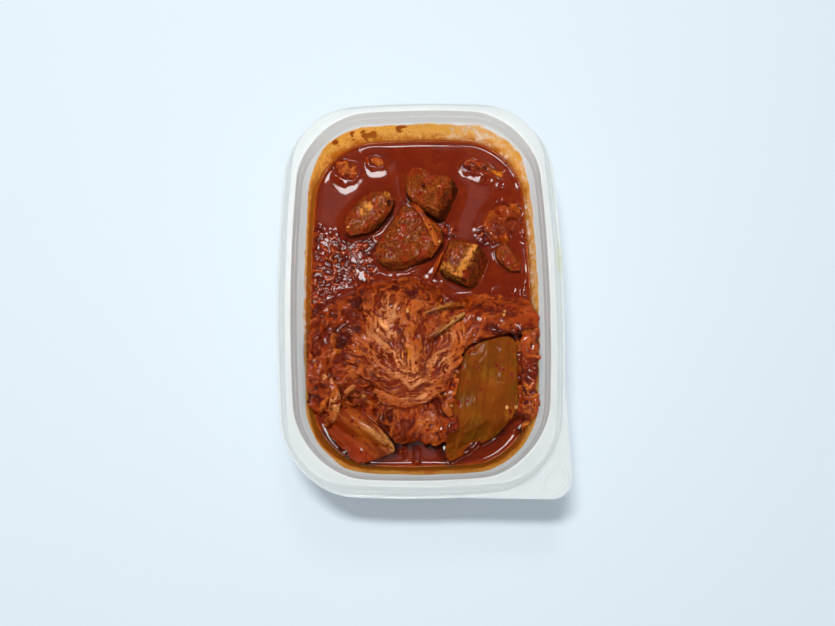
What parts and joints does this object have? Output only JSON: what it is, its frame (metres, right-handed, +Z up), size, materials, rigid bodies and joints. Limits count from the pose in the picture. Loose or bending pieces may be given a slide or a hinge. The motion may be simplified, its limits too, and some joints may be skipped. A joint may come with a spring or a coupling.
{
  "type": "braised kimchi with pork in a takeaway tray",
  "caption": "Tray of braised kimchi and pork cubes in red sauce: a rounded rectangular plastic tray with a corner tab, a heap of cabbage leaves at one end and meat at the other.",
  "frame": {"origin": "centre of the box that holds the whole part, at the table: the tray stands on Z = 0", "axes": "+Y along the tray's long side, from the heap of cabbage towards the meat; +X to the right; +Z up, out of the open tray"},
  "size_m": [0.125, 0.1768, 0.043],
  "materials": {
    "tray": "slightly translucent white moulded plastic",
    "sauce": "glossy brown-red sauce",
    "pork": "wet, grainy brown meat",
    "leaf": "wet, crumpled red-orange leaf",
    "crown": "wet, finely wrinkled pale orange leaf",
    "stalk": "wet, ribbed olive stalk",
    "shred": "wet orange shred",
    "rib": "wet pale olive leaf rib"
  },
  "bodies": {
    "root": {"tray": "tray", "sauce": "sauce", "kimchi_heap": "leaf", "crown_leaf": "crown", "leaf_back": "leaf", "leaf_left": "leaf", "leaf_front": "leaf", "sheet_upper_right": "leaf", "strip_right": "leaf", "stalk_broad": "stalk", "stalk_corner": "stalk", "leaf_lump_right": "leaf", "sunk_leaf_right": "leaf", "sunk_leaf_left": "leaf", "sunk_leaf_back": "leaf", "pork_back": "pork", "pork_left": "pork", "pork_slab": "pork", "pork_right": "pork", "pork_bit": "pork", "shred_orange": "shred", "shred_thin": "shred", "rib_upper": "rib", "rib_lower": "rib", "rib_front": "rib", "curl_left": "leaf", "curl_arch": "leaf"}
  },
  "joints": []
}
